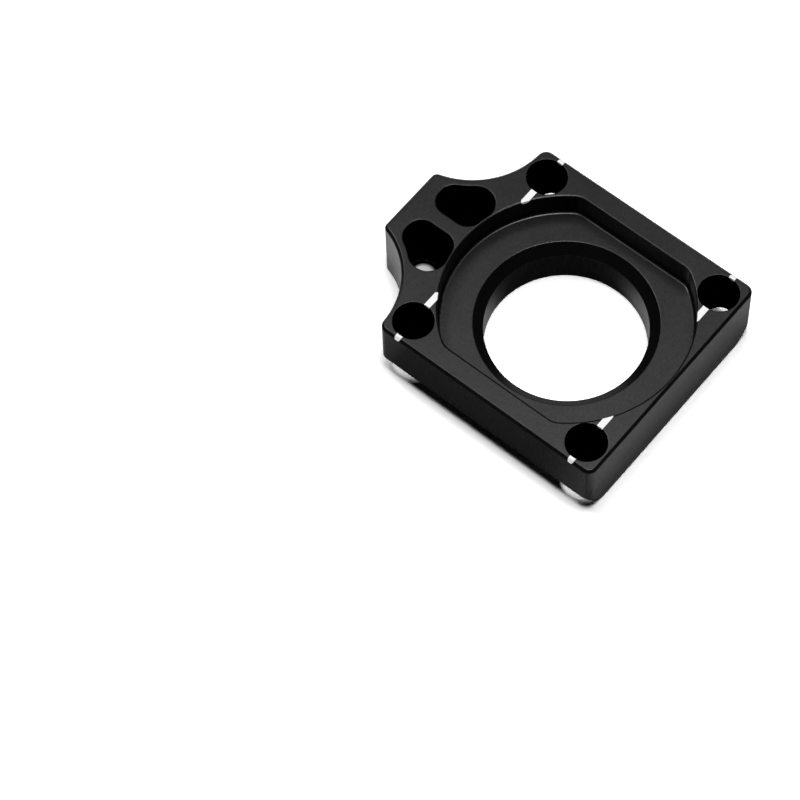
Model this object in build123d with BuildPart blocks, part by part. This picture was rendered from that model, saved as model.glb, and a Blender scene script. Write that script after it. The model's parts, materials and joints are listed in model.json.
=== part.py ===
from build123d import *
from math import sqrt
import os

os.makedirs("parts", exist_ok=True)

# Chain adjuster block for a rear axle, in millimetres, machined from one piece of plate.
# Origin on the axle axis at the underside, nose toward -X, +Z up, the recessed face on top.

# Axle bore and the recess that takes the axle head
bore_r = 12.5              # 25 mm axle
bore_chamfer = 1.6         # mouth of the bore in the recess floor
seat_side = 2.3            # floor left between the bore mouth and the two straight recess walls
seat_round = 5.2           # floor left between the bore mouth and the round recess walls
recess_depth = 4.5
recess_corner_r = 3.0      # between a straight and a round recess wall
recess_foot_r = 0.4        # between the recess wall and its floor
edge_break = 0.1           # on the rims of the recess and of the pockets

# Four corner holes
hole_r = 3.15
hole_to_recess = 0.18      # metal left on the diagonal between a hole and the recess
hole_to_side = 0.85        # metal left between a hole and the long side
hole_to_end = 0.75         # the same toward the plain end
hole_to_shoulder = 0.45    # the same toward the shoulder at the nose

# Body
thickness = 12.0
side_bevel = 3.5           # 45 degree bevel under both long sides
top_chamfer = 0.42
end_corner_r = 1.5
shoulder_corner_r = 1.5

# Nose with a hollow flank on each side
nose_length = 10.3         # beyond the square body
nose_width = 12.4          # flat face that the adjuster bolt bears on
nose_corner_r = 1.0
flank_beyond_nose = 3.15   # how far the flank's centre lies beyond the nose face

# Two lightening pockets through the nose, one on each side of a thin web
web = 2.4
pocket_to_recess = 0.4
pocket_to_flank = 1.35
pocket_to_nose = 2.85
pocket_flat = 0.5          # straight stretch left between the two rounds at the nose wall
pocket_end_step = 0.5      # how much larger the round at the far end is than the others

# Index grooves, half round, from inside each corner hole out through the long side
mark_r = 0.52
mark_length = 2.9          # from the rim of the hole inward

# Derived sizes
mouth_r = bore_r + bore_chamfer
recess_y = mouth_r + seat_side
recess_r = mouth_r + seat_round
hole_y = (recess_r + hole_to_recess + hole_r) / sqrt(2)
half = hole_y + hole_r + hole_to_side
hole_end_x = half - hole_to_end - hole_r
hole_shoulder_x = hole_to_shoulder + hole_r - half
recess_z = thickness - recess_depth
nose_x = -(half + nose_length)
flank_r = nose_length + flank_beyond_nose
flank_y = nose_width / 2 + sqrt(flank_r**2 - flank_beyond_nose**2)
flank_c = Vector(nose_x - flank_beyond_nose, flank_y)

# Pocket outline: walls parallel to the web, nose, flank and recess
inner_r = recess_r + pocket_to_recess
outer_r = flank_r + pocket_to_flank
pocket_x = nose_x + pocket_to_nose
pocket_y = web / 2
run = pocket_x - flank_c.X
rise = flank_c.Y - pocket_y - pocket_flat
reach = rise + outer_r - run
# Radius of two equal rounds that leave pocket_flat between them and touch web, nose and flank
pocket_r = reach - sqrt(reach**2 - (run**2 + rise**2 - outer_r**2))
pocket_end_r = pocket_r + pocket_end_step
# Centre of the end round, which touches both the recess side and the flank side
gap = flank_c.length
along = ((inner_r + pocket_end_r) ** 2 - (outer_r + pocket_end_r) ** 2 + gap**2) / (2 * gap)
across = sqrt((inner_r + pocket_end_r) ** 2 - along**2)
toward_flank = flank_c.normalized()
pocket_end_c = toward_flank * along + toward_flank.rotate(Axis.Z, 90) * across
touch_inner = pocket_end_c.normalized() * inner_r
touch_outer = flank_c + (pocket_end_c - flank_c).normalized() * outer_r
web_corner = Vector(-sqrt(inner_r**2 - pocket_y**2), pocket_y)
nose_corner = Vector(pocket_x, pocket_y)
flank_corner = Vector(pocket_x, flank_c.Y - sqrt(outer_r**2 - run**2))

with BuildSketch() as outline:
    with Locations((nose_x, 0)):
        Rectangle(half - nose_x, 2 * half, align=(Align.MIN, Align.CENTER))
    with Locations((flank_c.X, flank_c.Y), (flank_c.X, -flank_c.Y)):
        Circle(flank_r, mode=Mode.SUBTRACT)
    fillet(outline.vertices().group_by(Axis.X)[-2], shoulder_corner_r)
    fillet(outline.vertices().group_by(Axis.X)[0], nose_corner_r)
    fillet(outline.vertices().group_by(Axis.X)[-1], end_corner_r)

# Section across the block, the same from the nose to the plain end
with BuildSketch(Plane.YZ) as section:
    Rectangle(2 * half, thickness, align=(Align.CENTER, Align.MIN))
    chamfer(section.vertices().group_by(Axis.Y)[0], side_bevel)

with BuildPart() as adjuster_block:
    # Outline and section meet in the body
    extrude(outline.sketch, amount=thickness)
    extrude(section.sketch, amount=-nose_x, both=True, mode=Mode.INTERSECT)
    chamfer(adjuster_block.faces().sort_by(Axis.Z)[-1].edges(), top_chamfer)

    # Recess: a round seat cut off by two straight walls along the long sides
    with BuildSketch(Plane.XY.offset(thickness)) as recess:
        Circle(recess_r)
        Rectangle(2 * recess_r, 2 * recess_y, mode=Mode.INTERSECT)
        fillet(recess.vertices(), recess_corner_r)
    extrude(amount=-recess_depth, mode=Mode.SUBTRACT)
    chamfer(adjuster_block.edges(Select.LAST).group_by(Axis.Z)[-1], edge_break)
    foot = adjuster_block.faces().filter_by(Plane.XY).filter_by_position(Axis.Z, recess_z, recess_z)
    fillet(foot.edges(), recess_foot_r)

    # Axle bore, its mouth opened by a chamfer
    with Locations((0, 0, recess_z)):
        Hole(bore_r, depth=recess_z)
    chamfer(adjuster_block.edges(Select.LAST).sort_by(Axis.Z)[-1], bore_chamfer)

    # Pockets
    with BuildSketch() as pockets:
        with BuildLine():
            Line(web_corner, nose_corner)
            Line(nose_corner, flank_corner)
            RadiusArc(flank_corner, touch_outer, -outer_r)
            RadiusArc(touch_outer, touch_inner, pocket_end_r)
            RadiusArc(touch_inner, web_corner, -inner_r)
        make_face()
        fillet(pockets.vertices().group_by(Axis.Y)[0], pocket_r)
        fillet(pockets.vertices().group_by(Axis.X)[0].sort_by(Axis.Y)[-1], pocket_r)
        mirror(about=Plane.XZ)
    extrude(amount=thickness, mode=Mode.SUBTRACT)
    chamfer(adjuster_block.edges(Select.LAST).group_by(Axis.Z)[-1], edge_break)

    # Corner holes
    corners = [(x, y, thickness) for x in (hole_shoulder_x, hole_end_x) for y in (-hole_y, hole_y)]
    with Locations(*corners):
        Hole(hole_r, depth=thickness)

    # Index grooves, each with a round inner end
    groove_start = hole_y - hole_r - mark_length + mark_r
    from_base = (Align.CENTER, Align.CENTER, Align.MIN)
    for x in (hole_shoulder_x, hole_end_x):
        with Locations((x, groove_start, thickness), (x, -groove_start, thickness)):
            Sphere(mark_r, mode=Mode.SUBTRACT)
        with Locations((x, groove_start, thickness)):
            Cylinder(mark_r, half, rotation=(-90, 0, 0), align=from_base, mode=Mode.SUBTRACT)
        with Locations((x, -groove_start, thickness)):
            Cylinder(mark_r, half, rotation=(90, 0, 0), align=from_base, mode=Mode.SUBTRACT)

adjuster_block.part.label = "adjuster_block"
export_step(adjuster_block.part, "parts/adjuster_block.step")
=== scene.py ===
import json
from math import cos, pi, radians, sin, sqrt

import bpy
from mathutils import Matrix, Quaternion, Vector


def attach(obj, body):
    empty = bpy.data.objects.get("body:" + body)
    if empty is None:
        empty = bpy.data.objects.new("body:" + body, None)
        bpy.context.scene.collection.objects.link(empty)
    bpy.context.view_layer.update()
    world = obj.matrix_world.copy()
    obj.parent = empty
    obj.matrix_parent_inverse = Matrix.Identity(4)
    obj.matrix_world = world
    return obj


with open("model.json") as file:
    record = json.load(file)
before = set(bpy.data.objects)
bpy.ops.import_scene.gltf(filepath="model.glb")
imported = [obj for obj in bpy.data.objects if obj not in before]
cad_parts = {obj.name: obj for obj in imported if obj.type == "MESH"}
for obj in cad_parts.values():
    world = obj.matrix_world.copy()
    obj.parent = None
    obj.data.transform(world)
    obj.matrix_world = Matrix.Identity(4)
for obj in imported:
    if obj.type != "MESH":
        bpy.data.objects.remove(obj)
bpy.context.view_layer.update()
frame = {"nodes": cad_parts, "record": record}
block = frame["nodes"]["adjuster_block"]

# Sizes of the block that its mounts give, in metres
MM = 0.001
MOUNTS = {mount["name"]: mount for mount in frame["record"]["mounts"]}
CORNER_HOLES = MOUNTS["corner_holes"]
THICKNESS = CORNER_HOLES["pos_m"][2]
HALF = MOUNTS["long_side_pos_y"]["pos_m"][1]
NOSE_X = MOUNTS["nose_face"]["pos_m"][0]
BORE_R = MOUNTS["axle_bore"]["dims"]["r_mm"] * MM
RECESS_FLOOR = MOUNTS["head_seat"]["pos_m"][2]
HOLE_R = CORNER_HOLES["dims"]["hole_r_mm"] * MM
HOLE_Y = CORNER_HOLES["dims"]["spacing_y_mm"] * MM / 2
HOLE_REACH = CORNER_HOLES["dims"]["spacing_x_mm"] * MM / 2
HOLE_X = [CORNER_HOLES["pos_m"][0] + side * HOLE_REACH for side in (-1, 1)]

# Other sizes of the block
TOP_CHAMFER = 0.00042
EDGE_BREAK = 0.0001
BORE_CHAMFER = 0.0016
RECESS_R = 0.0193
RECESS_Y = 0.0164
RECESS_FOOT_R = 0.0004
MARK_R = 0.00052
MARK_LENGTH = 0.0029
MARK_START = HOLE_Y - HOLE_R - MARK_LENGTH
NOSE_WIDTH = 0.0124
FLANK_R = 0.01345
FLANK_BEYOND_NOSE = 0.00315
FLANK_CENTRE = (NOSE_X - FLANK_BEYOND_NOSE, NOSE_WIDTH / 2 + sqrt(FLANK_R**2 - FLANK_BEYOND_NOSE**2))
POCKET_TO_RECESS = 0.0004
POCKET_TO_FLANK = 0.00135
POCKET_TO_NOSE = 0.00285
POCKET_REACH_Y = 0.014

# How near a point has to lie to a face to count as on it
SKIN = 0.00005

# Paint in the grooves: how much of their radius it fills, how far it lies below the faces beside it, its
# facets across and its steps along, and its finish
PAINT_FILL = 0.985
PAINT_SINK = 0.00001
PAINT_FACETS = 16
PAINT_STEPS = 3
PAINT_TONE = 0.9
PAINT_ROUGHNESS = 0.5

# Finish of the block, with the painted shade that makes the walls of its holes and pockets and the round wall
# of its recess blacker and without reflections; a noise is its scale and its detail
BLACK = (0.0026, 0.0026, 0.0027, 1)
WORN_BLACK = (0.0044, 0.0044, 0.0045, 1)
# Painted shade: the colour of the walls of the corner holes and pockets, and mostly of the round wall of the
# recess
PAINTED_SHADE_BLACK = (0.0003, 0.0003, 0.0003, 1)
SPECULAR_LEVEL = 0.46
ROUGHNESS = (0.25, 0.35)
CHAMFER_ROUGHNESS = 0.14
# How much of the painted shade falls on the round wall of the recess
ROUND_WALL_PAINTED_SHADE = 0.9
CLOUD = (160, 3)
SPECKLE = (3400, 3)
GRAIN = (5200, 2)
FACE_SPECKLE = 0.35
WALL_SPECKLE = 0.9
WALL_STREAK = 0.14
GRAIN_DEPTH = 0.00002
GRAIN_STRENGTH = 0.10
SOFT_EDGE_R = 0.00018
SOFT_EDGE_SAMPLES = 16
WORN_RIM_R = 0.0003
WORN_RIM_BLEND = 0.0007

# Floor: its size, how far it lies below the block, its own tone, its gain to the camera and its tone in the
# block's reflections
FLOOR_SIZE = 6
FLOOR_DROP = 0.00002
FLOOR_TONE = 0.8
FLOOR_GAIN = 1.65
MIRRORED_FLOOR = 0.62

# Shade of the mirrored floor in front of the near long side: the tone left there, the shade's middle along X,
# and the places between which it fades
FRONT_TONE = 0.12
FRONT_MIDDLE_X = -0.005
FRONT_FADE_X = (0.012, 0.038)
FRONT_FADE_Y = (-0.045, -0.028)
FRONT_EDGE_Y = (-0.0192, -0.0185)

# Shade of the mirrored floor in the bore: the tone left in the part toward one side and in the centre
BORE_TONE = 0.07
BORE_CENTRE_TONE = 0.25
BORE_SHADED_SIDE = (-0.667, 0.745, 0)
BORE_FADE = (0.0055, 0.0095)
BORE_CENTRE_FADE = (0.0085, 0.0115)
BORE_EDGE = (0.0126, 0.0127)

# Shade of the mirrored floor at the foot of the plain end, and far from the block
END_TONE = 0.4
END_FADE_X = (0.0200, 0.0250)
END_EDGE_X = (0.0195, 0.0199)
FAR_TONE = 0.15
FAR_FADE = (0.050, 0.080)

# Lit place of the mirrored floor, beside the near flank of the nose
FLANK_TONE = 1.0
FLANK_FADE_X = (-0.0195, -0.0185)
FLANK_FADE_Y = (-0.0080, -0.0060)

# Shade on the floor inside two openings, at the foot of the far wall of the near hole and of the near pocket
HOLE_SHADE_AT = (0.01433, -0.01349)
HOLE_SHADE_FADE = (0.0008, 0.0012)
POCKET_SHADE_AT = (-0.02483, -0.00361)
POCKET_SHADE_FADE = (0.0013, 0.00205)
POCKET_SHADE_END = 0.0040
POCKET_LIT_TONE = 0.62

# Studio lamps; each row is name, azimuth, elevation, distance and the power that it would need one metre away
LAMPS = (
    ("top", 0, 90, 0.5, 1.82),
    ("top_right", 0, 80, 0.5, 3.75),
    ("top_back", 90, 80, 0.5, 0.87),
    ("back_left", 135, 70, 1.0, 0.44),
    ("back", 90, 60, 1.0, 0.33),
    ("left", 180, 60, 1.0, 3.40),
)
LAMP_SIZE = 0.36

# Camera
CAMERA_AT = (0.15107, -0.20719, 0.46172)
CAMERA_AIM = (-0.009476, -0.027580, 0.012)
CAMERA_ROLL = -2.7316
CAMERA_LENS = 156.64
CAMERA_CLIP = 0.01


def new_material(name):
    material = bpy.data.materials.new(name)
    material.use_nodes = True
    tree = material.node_tree
    return material, tree, tree.nodes["Principled BSDF"]


def add(tree, kind, **values):
    node = tree.nodes.new(kind)
    for key, value in values.items():
        setattr(node, key, value)
    return node


def feed(tree, socket, value):
    """Gives a socket its value, which is a number or another node's output."""
    if isinstance(value, (int, float)):
        socket.default_value = value
    else:
        tree.links.new(value, socket)


def calculate(tree, operation, *terms):
    """One step of arithmetic; each term is a number or an output."""
    node = add(tree, "ShaderNodeMath", operation=operation)
    for socket, term in zip(node.inputs, terms):
        feed(tree, socket, term)
    return node.outputs[0]


def combine(tree, operation, *values):
    """All values joined two at a time by one operation."""
    result = values[0]
    for value in values[1:]:
        result = calculate(tree, operation, result, value)
    return result


def between(tree, value, low, high):
    """1 where value lies between low and high, else 0."""
    above = calculate(tree, "GREATER_THAN", value, low)
    below = calculate(tree, "LESS_THAN", value, high)
    return calculate(tree, "MULTIPLY", above, below)


def change(tree, value, low, high, at_low, at_high, kind="LINEAR"):
    """A change from at_low, where value is low, to at_high, where it is high."""
    node = add(tree, "ShaderNodeMapRange", interpolation_type=kind)
    feed(tree, node.inputs["Value"], value)
    feed(tree, node.inputs["From Min"], low)
    feed(tree, node.inputs["From Max"], high)
    feed(tree, node.inputs["To Min"], at_low)
    feed(tree, node.inputs["To Max"], at_high)
    return node.outputs["Result"]


def fade(tree, value, stretch, at_low, at_high):
    """A smooth change over one stretch, given as its two ends."""
    return change(tree, value, *stretch, at_low, at_high, kind="SMOOTHSTEP")


def object_place(tree):
    return add(tree, "ShaderNodeTexCoord").outputs["Object"]


def split(tree, vector):
    parts = add(tree, "ShaderNodeSeparateXYZ")
    tree.links.new(vector, parts.inputs[0])
    return parts.outputs["X"], parts.outputs["Y"], parts.outputs["Z"]


def plan_distance(tree, x, y, centre=(0, 0)):
    """Distance of a place from a vertical line."""
    plan = add(tree, "ShaderNodeCombineXYZ")
    tree.links.new(x, plan.inputs["X"])
    tree.links.new(y, plan.inputs["Y"])
    node = add(tree, "ShaderNodeVectorMath", operation="DISTANCE")
    tree.links.new(plan.outputs[0], node.inputs[0])
    node.inputs[1].default_value = (*centre, 0)
    return node.outputs["Value"]


def noise(tree, place, scale, detail):
    node = add(tree, "ShaderNodeTexNoise")
    node.inputs["Scale"].default_value = scale
    node.inputs["Detail"].default_value = detail
    tree.links.new(place, node.inputs["Vector"])
    return node.outputs["Fac"]


def inside_openings(tree, place):
    """1 on the walls of the four corner holes and the two pockets, where shade is painted, 0 elsewhere."""
    x, y, z = split(tree, place)
    off_axis = calculate(tree, "ABSOLUTE", y)
    near_hole = [plan_distance(tree, x, off_axis, (hole_x, HOLE_Y)) for hole_x in HOLE_X]
    holes = [calculate(tree, "LESS_THAN", distance, HOLE_R + SKIN) for distance in near_hole]
    from_axle = plan_distance(tree, x, off_axis)
    from_flank = plan_distance(tree, x, off_axis, FLANK_CENTRE)
    pocket = combine(
        tree,
        "MULTIPLY",
        calculate(tree, "GREATER_THAN", from_axle, RECESS_R + POCKET_TO_RECESS - SKIN),
        calculate(tree, "GREATER_THAN", from_flank, FLANK_R + POCKET_TO_FLANK - SKIN),
        calculate(tree, "LESS_THAN", off_axis, POCKET_REACH_Y),
        between(tree, x, NOSE_X + POCKET_TO_NOSE - SKIN, 0),
        between(tree, z, SKIN, THICKNESS - EDGE_BREAK),
    )
    return combine(tree, "MAXIMUM", *holes, pocket)


def round_wall(tree, place):
    """1 on the round wall of the recess, where shade is painted, 0 elsewhere."""
    x, y, z = split(tree, place)
    on_wall = between(tree, plan_distance(tree, x, y), RECESS_R - SKIN, RECESS_R + SKIN)
    upright = between(tree, z, RECESS_FLOOR + RECESS_FOOT_R, THICKNESS - EDGE_BREAK)
    return calculate(tree, "MULTIPLY", on_wall, upright)


def bore_mouth(tree, place):
    """1 on the chamfer between the bore and the recess's floor, 0 elsewhere."""
    x, y, z = split(tree, place)
    in_ring = between(tree, plan_distance(tree, x, y), BORE_R + SKIN, BORE_R + BORE_CHAMFER - SKIN)
    in_slope = between(tree, z, RECESS_FLOOR - BORE_CHAMFER, RECESS_FLOOR - SKIN)
    return calculate(tree, "MULTIPLY", in_ring, in_slope)


def speckle(tree, place):
    """Specular level with the fine grain of the faces, stronger and drawn out upright on walls."""
    stretched = add(tree, "ShaderNodeMapping")
    stretched.inputs["Scale"].default_value = (1, 1, WALL_STREAK)
    tree.links.new(place, stretched.inputs["Vector"])
    centred = calculate(tree, "SUBTRACT", noise(tree, stretched.outputs[0], *SPECKLE), 0.5)
    upward = split(tree, add(tree, "ShaderNodeNewGeometry").outputs["True Normal"])[2]
    swing = change(tree, calculate(tree, "ABSOLUTE", upward), 0, 1, WALL_SPECKLE, FACE_SPECKLE)
    return calculate(tree, "MULTIPLY_ADD", centred, swing, SPECULAR_LEVEL)


def worn_rim(tree, place):
    """Height of the rounded rim of the recess, 0 on the flat top face beside it."""
    x, y, z = split(tree, place)
    past_round = calculate(tree, "SUBTRACT", plan_distance(tree, x, y), RECESS_R)
    past_straight = calculate(tree, "SUBTRACT", calculate(tree, "ABSOLUTE", y), RECESS_Y)
    past_rim = calculate(tree, "SMOOTH_MAX", past_round, past_straight, WORN_RIM_BLEND)
    inward = change(tree, past_rim, EDGE_BREAK, WORN_RIM_R, WORN_RIM_R - EDGE_BREAK, 0)
    on_top = calculate(tree, "GREATER_THAN", z, THICKNESS - SKIN)
    square = combine(tree, "MULTIPLY", inward, inward, on_top)
    return calculate(tree, "DIVIDE", square, -2 * WORN_RIM_R)


def anodised():
    """Black anodised aluminium, satin, with the faint mottle and grain of its machined faces, and painted
    shade on the walls of its openings and on the round wall of its recess.
    """
    material, tree, shader = new_material("black_anodised")
    link = tree.links.new
    shader.inputs["Metallic"].default_value = 0.0
    shader.inputs["IOR"].default_value = 1.5
    place = object_place(tree)
    # Painted shade on most of the round wall of the recess
    round_wall_painted_shade = calculate(tree, "MULTIPLY", round_wall(tree, place), ROUND_WALL_PAINTED_SHADE)
    # Painted shade: the walls of the holes and pockets, and the round wall, go blacker and lose their
    # reflections
    painted_shade = combine(tree, "MAXIMUM", inside_openings(tree, place), round_wall_painted_shade)
    cloud = noise(tree, place, *CLOUD)
    tone = add(tree, "ShaderNodeValToRGB")
    tone.color_ramp.elements[0].color = BLACK
    tone.color_ramp.elements[1].color = WORN_BLACK
    link(cloud, tone.inputs["Fac"])
    dark = add(tree, "ShaderNodeMix", data_type="RGBA")
    dark.inputs["B"].default_value = PAINTED_SHADE_BLACK
    link(painted_shade, dark.inputs["Factor"])
    link(tone.outputs["Color"], dark.inputs["A"])
    link(dark.outputs["Result"], shader.inputs["Base Color"])
    # The painted shade also takes the reflections away
    gloss = change(tree, painted_shade, 0, 1, speckle(tree, place), 0)
    link(gloss, shader.inputs["Specular IOR Level"])
    satin = change(tree, cloud, 0, 1, *ROUGHNESS)
    finish = change(tree, bore_mouth(tree, place), 0, 1, satin, CHAMFER_ROUGHNESS)
    link(finish, shader.inputs["Roughness"])
    soft_edge = add(tree, "ShaderNodeBevel", samples=SOFT_EDGE_SAMPLES)
    soft_edge.inputs["Radius"].default_value = SOFT_EDGE_R
    rim = add(tree, "ShaderNodeBump")
    rim.inputs["Distance"].default_value = 1
    link(worn_rim(tree, place), rim.inputs["Height"])
    link(soft_edge.outputs["Normal"], rim.inputs["Normal"])
    grain = add(tree, "ShaderNodeBump")
    grain.inputs["Strength"].default_value = GRAIN_STRENGTH
    grain.inputs["Distance"].default_value = GRAIN_DEPTH
    link(noise(tree, place, *GRAIN), grain.inputs["Height"])
    link(rim.outputs["Normal"], grain.inputs["Normal"])
    link(grain.outputs["Normal"], shader.inputs["Normal"])
    return material


def white_paint():
    """Matt white fill of the index grooves."""
    material, tree, shader = new_material("index_paint")
    shader.inputs["Base Color"].default_value = (PAINT_TONE, PAINT_TONE, PAINT_TONE, 1)
    shader.inputs["Roughness"].default_value = PAINT_ROUGHNESS
    return material


def mirrored_tone(tree, place):
    """How white the floor is in the block's reflections: painted shade in front of the near long side, in the
    bore, at the foot of the plain end and far from the block, and a painted lit place beside the near flank
    of the nose.
    """
    x, y, _ = split(tree, place)
    from_middle = calculate(tree, "ABSOLUTE", calculate(tree, "SUBTRACT", x, FRONT_MIDDLE_X))
    front = combine(
        tree,
        "MAXIMUM",
        fade(tree, y, FRONT_FADE_Y, 1, FRONT_TONE),
        fade(tree, y, FRONT_EDGE_Y, FRONT_TONE, 1),
        fade(tree, from_middle, FRONT_FADE_X, FRONT_TONE, 1),
    )
    sideways = add(tree, "ShaderNodeVectorMath", operation="DOT_PRODUCT")
    tree.links.new(place, sideways.inputs[0])
    sideways.inputs[1].default_value = BORE_SHADED_SIDE
    from_axle = plan_distance(tree, x, y)
    shaded_side = fade(tree, sideways.outputs["Value"], BORE_FADE, 1, BORE_TONE)
    centre = fade(tree, from_axle, BORE_CENTRE_FADE, BORE_CENTRE_TONE, 1)
    outside = fade(tree, from_axle, BORE_EDGE, 0, 1)
    bore = calculate(tree, "MAXIMUM", calculate(tree, "MULTIPLY", shaded_side, centre), outside)
    plain_end = calculate(
        tree,
        "MAXIMUM",
        fade(tree, x, END_FADE_X, END_TONE, 1),
        fade(tree, x, END_EDGE_X, 1, END_TONE),
    )
    far = fade(tree, from_axle, FAR_FADE, 1, FAR_TONE)
    beside_flank = calculate(
        tree,
        "MULTIPLY",
        fade(tree, x, FLANK_FADE_X, 1, 0),
        fade(tree, y, FLANK_FADE_Y, 1, 0),
    )
    open_floor = fade(tree, beside_flank, (0, 1), MIRRORED_FLOOR, FLANK_TONE)
    return combine(tree, "MULTIPLY", front, bore, plain_end, far, open_floor)


def seen_tone(tree, place):
    """How white the floor is to the camera: less at the foot of two openings' far walls."""
    x, y, _ = split(tree, place)
    hole = fade(tree, plan_distance(tree, x, y, HOLE_SHADE_AT), HOLE_SHADE_FADE, 0, 1)
    from_corner = plan_distance(tree, x, y, POCKET_SHADE_AT)
    lit = fade(tree, from_corner, POCKET_SHADE_FADE, POCKET_LIT_TONE, 0)
    past_pocket = calculate(tree, "GREATER_THAN", from_corner, POCKET_SHADE_END)
    pocket = calculate(tree, "MAXIMUM", past_pocket, lit)
    return combine(tree, "MULTIPLY", hole, pocket, FLOOR_GAIN)


def white_floor():
    """White table, overexposed to the camera so that only the darkest part of the shadow shows."""
    material, tree, shader = new_material("floor")
    link = tree.links.new
    tree.nodes.remove(shader)
    place = object_place(tree)
    plain, mirrored, seen = (add(tree, "ShaderNodeBsdfDiffuse") for _ in range(3))
    plain.inputs["Color"].default_value = (FLOOR_TONE, FLOOR_TONE, FLOOR_TONE, 1)
    link(mirrored_tone(tree, place), mirrored.inputs["Color"])
    link(seen_tone(tree, place), seen.inputs["Color"])
    path = add(tree, "ShaderNodeLightPath")
    result = plain.outputs[0]
    for ray, surface in (("Is Glossy Ray", mirrored), ("Is Camera Ray", seen)):
        mix = add(tree, "ShaderNodeMixShader")
        link(path.outputs[ray], mix.inputs[0])
        link(result, mix.inputs[1])
        link(surface.outputs[0], mix.inputs[2])
        result = mix.outputs[0]
    link(result, tree.nodes["Material Output"].inputs["Surface"])
    return material


def bottom_points(x, u, outer):
    """Places along one line of the groove's bottom, x is the mark's and u the line's own offset from it.

    Each point is a distance from the long axis and a depth below the top face.
    """
    reach = sqrt(MARK_R**2 - u**2)
    rim = sqrt(HOLE_R**2 - u**2)
    steps = range(PAINT_STEPS + 1)
    if outer:
        start = HOLE_Y + rim
        end = HALF - TOP_CHAMFER + min(reach, TOP_CHAMFER)
        return [(start + (end - start) * k / PAINT_STEPS, reach) for k in steps]
    centre = MARK_START + MARK_R
    start = max(centre - reach, sqrt(RECESS_R**2 - (x + u) ** 2))
    round_end = max(centre, start)
    points = [start + (round_end - start) * k / PAINT_STEPS for k in steps]
    depths = [sqrt(max(reach**2 - min(y - centre, 0) ** 2, 0)) for y in points]
    return list(zip(points, depths)) + [(HOLE_Y - rim, reach)]


def top_points(x, u, bottom, outer):
    """The paint's own surface over one line of the bottom, just below the faces it lies in."""
    start, end = bottom[0][0], bottom[-1][0]
    if not outer:
        recess_rim = sqrt(RECESS_R**2 - (x + u) ** 2) + EDGE_BREAK
        return [(end, PAINT_SINK), (max(start, recess_rim), PAINT_SINK)]
    fall = min(bottom[-1][1], TOP_CHAMFER)
    return [(end, fall + PAINT_SINK / 2), (HALF - TOP_CHAMFER, PAINT_SINK), (start, PAINT_SINK)]


def index_paint(name, x, side, outer, material):
    """Paint in one stretch of an index groove: half round below, almost level with the faces above.

    side is +1 or -1 for the long side that the groove runs to; outer is True for the stretch past the hole.
    """
    vertices = []
    for i in range(PAINT_FACETS + 1):
        u = -MARK_R * PAINT_FILL * cos(pi * i / PAINT_FACETS)
        line = bottom_points(x, u, outer)
        bottom = [(y, max(depth * PAINT_FILL, 2 * PAINT_SINK)) for y, depth in line]
        loop = bottom + top_points(x, u, bottom, outer)
        vertices += [(x + u, side * y, THICKNESS - depth) for y, depth in loop]
    rows = len(loop)
    last = PAINT_FACETS * rows
    faces = [tuple(range(rows)), tuple(range(last, last + rows))[::-1]]
    for i in range(PAINT_FACETS):
        a, b = i * rows, (i + 1) * rows
        for j in range(rows):
            k = (j + 1) % rows
            faces.append((a + k, a + j, b + j, b + k))
    mesh = bpy.data.meshes.new(name)
    mesh.from_pydata(vertices, [], faces)
    mesh.validate()
    mesh.update()
    if side < 0:
        mesh.flip_normals()
    piece = bpy.data.objects.new(name, mesh)
    bpy.context.scene.collection.objects.link(piece)
    mesh.materials.append(material)
    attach(piece, "root")


def studio_lamp(name, azimuth, elevation, distance, power):
    """A round lamp aimed at the block; size and power grow with distance, so that its light stays alike."""
    data = bpy.data.lights.new(name, "AREA")
    data.shape = "DISK"
    data.size = LAMP_SIZE * distance
    data.energy = power * distance**2
    lamp = bpy.data.objects.new(name, data)
    a, e = radians(azimuth), radians(elevation)
    lamp.location = distance * Vector((cos(e) * cos(a), cos(e) * sin(a), sin(e)))
    lamp.rotation_euler = (-Vector(lamp.location)).to_track_quat("-Z", "Y").to_euler()
    bpy.context.scene.collection.objects.link(lamp)


def photo_camera():
    """The camera at the photo's viewing angle."""
    data = bpy.data.cameras.new("camera")
    data.lens = CAMERA_LENS
    data.clip_start = CAMERA_CLIP
    camera = bpy.data.objects.new("camera", data)
    camera.location = CAMERA_AT
    toward = (Vector(CAMERA_AIM) - camera.location).to_track_quat("-Z", "Y")
    camera.rotation_mode = "QUATERNION"
    camera.rotation_quaternion = toward @ Quaternion((0, 0, 1), radians(CAMERA_ROLL))
    bpy.context.scene.collection.objects.link(camera)
    bpy.context.scene.camera = camera


block.data.materials.clear()
block.data.materials.append(anodised())

paint = white_paint()
for end_name, x in zip(("nose_end", "plain_end"), HOLE_X):
    for side_name, side in (("near", -1), ("far", 1)):
        for part_name, outer in (("inner", False), ("outer", True)):
            index_paint("_".join(("mark", end_name, side_name, part_name)), x, side, outer, paint)

bpy.ops.mesh.primitive_plane_add(size=FLOOR_SIZE, location=(0, 0, -FLOOR_DROP))
floor = bpy.context.object
floor.name = "floor"
floor.data.materials.append(white_floor())

for lamp_row in LAMPS:
    studio_lamp(*lamp_row)

# The world gives no light of its own
world = bpy.data.worlds.new("studio")
bpy.context.scene.world = world
world.use_nodes = True
world.node_tree.nodes["Background"].inputs["Strength"].default_value = 0.0

photo_camera()
bpy.context.scene.view_settings.view_transform = "Standard"
